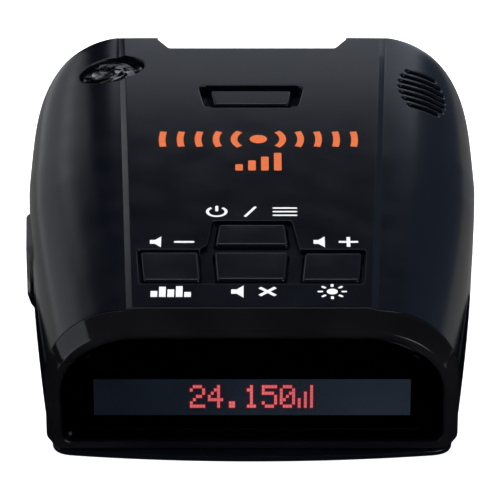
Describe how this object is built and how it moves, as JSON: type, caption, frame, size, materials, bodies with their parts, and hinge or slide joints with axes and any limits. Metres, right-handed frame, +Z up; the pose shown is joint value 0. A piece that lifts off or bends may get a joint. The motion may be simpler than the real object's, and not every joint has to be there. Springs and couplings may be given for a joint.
{
  "type": "radar detector",
  "caption": "Slim black windscreen-mount radar detector with a smoked display end, deck keys, a speaker grille and a bracket notch with release key.",
  "frame": {"origin": "on the underside, below the middle of the case's length and width", "axes": "+X to the right of someone facing the display, +Y forward to the radar end, +Z up from the underside to the key deck"},
  "size_m": [0.0774, 0.1026, 0.026],
  "materials": {
    "case_black": "fine satin texture, moulded ABS",
    "key_black": "satin, soft edges",
    "bezel_black": "semi-gloss",
    "lens_smoke": "polished smoked acrylic",
    "mask_black": "printed matt black sheet",
    "display_glass": "dot-matrix panel with lit red characters",
    "board_green": "solder mask over glass-fibre board",
    "flex_amber": "polyimide ribbon",
    "connector_cream": "moulded nylon",
    "moulding_black": "moulded, slightly grained",
    "cast_metal": "as cast, sand-blasted",
    "can_metal": "drawn, satin",
    "tin_plate": "tinned sheet",
    "spring_steel": "drawn wire and blanked strip",
    "screw_steel": "black zinc",
    "window_red": "infrared-pass acrylic, near black",
    "foam_black": "closed-cell foam",
    "cone_paper": "doped paper",
    "print_white": "pad-printed ink",
    "print_orange": "pad-printed ink"
  },
  "bodies": {
    "housing": {"top_case": "case_black", "bottom_case": "case_black", "rear_bezel": "bezel_black", "display_lens": "lens_smoke", "display_mask": "mask_black", "display_panel": "display_glass", "display_board": "board_green", "display_flex": "flex_amber", "display_socket": "connector_cream", "release_spring": "spring_steel", "bracket_channel": "moulding_black", "main_board": "board_green", "radio_board": "board_green", "horn_antenna": "cast_metal", "shield_can": "tin_plate", "processor": "moulding_black", "capacitor_left": "can_metal", "capacitor_right": "can_metal", "front_window": "window_red", "laser_receiver": "moulding_black", "laser_lens": "lens_smoke", "pickup_lens": "lens_smoke", "pickup_sensor": "moulding_black", "speaker_gasket": "foam_black", "speaker_frame": "moulding_black", "speaker_cone": "cone_paper", "speaker_magnet": "can_metal", "power_socket": "moulding_black", "audio_socket": "moulding_black", "power_menu_switch": "tin_plate", "volume_down_switch": "tin_plate", "mute_switch": "tin_plate", "volume_up_switch": "tin_plate", "case_screw_front_left": "screw_steel", "board_screw_front_left": "screw_steel", "case_screw_front_right": "screw_steel", "board_screw_front_right": "screw_steel", "case_screw_rear_left": "screw_steel", "board_screw_rear_left": "screw_steel", "case_screw_rear_right": "screw_steel", "board_screw_rear_right": "screw_steel", "horn_screw_left": "screw_steel", "horn_screw_right": "screw_steel"},
    "power_menu_key": {"power_menu_button": "key_black", "power_menu_plunger": "moulding_black"},
    "volume_down_key": {"volume_down_button": "key_black", "volume_down_plunger": "moulding_black"},
    "mute_key": {"mute_button": "key_black", "mute_plunger": "moulding_black"},
    "volume_up_key": {"volume_up_button": "key_black", "volume_up_plunger": "moulding_black"},
    "release_key": {"release_button": "key_black", "bracket_latch": "spring_steel"}
  },
  "joints": [
    {"name": "power_menu_press", "type": "slide", "parent": "housing", "child": "power_menu_key", "axis": [0, 0, -1], "range_m": [0, 0.0006], "stiffness_N_per_m": 2500, "springref_m": -0.0001},
    {"name": "volume_down_press", "type": "slide", "parent": "housing", "child": "volume_down_key", "axis": [0, 0, -1], "range_m": [0, 0.0006], "stiffness_N_per_m": 2500, "springref_m": -0.0001},
    {"name": "mute_press", "type": "slide", "parent": "housing", "child": "mute_key", "axis": [0, 0, -1], "range_m": [0, 0.0006], "stiffness_N_per_m": 2500, "springref_m": -0.0001},
    {"name": "volume_up_press", "type": "slide", "parent": "housing", "child": "volume_up_key", "axis": [0, 0, -1], "range_m": [0, 0.0006], "stiffness_N_per_m": 2500, "springref_m": -0.0001},
    {"name": "release_press", "type": "slide", "parent": "housing", "child": "release_key", "axis": [0, 0, -1], "range_m": [0, 0.0013], "stiffness_N_per_m": 2000, "springref_m": -0.0003, "deforming": ["release_spring"]}
  ]
}
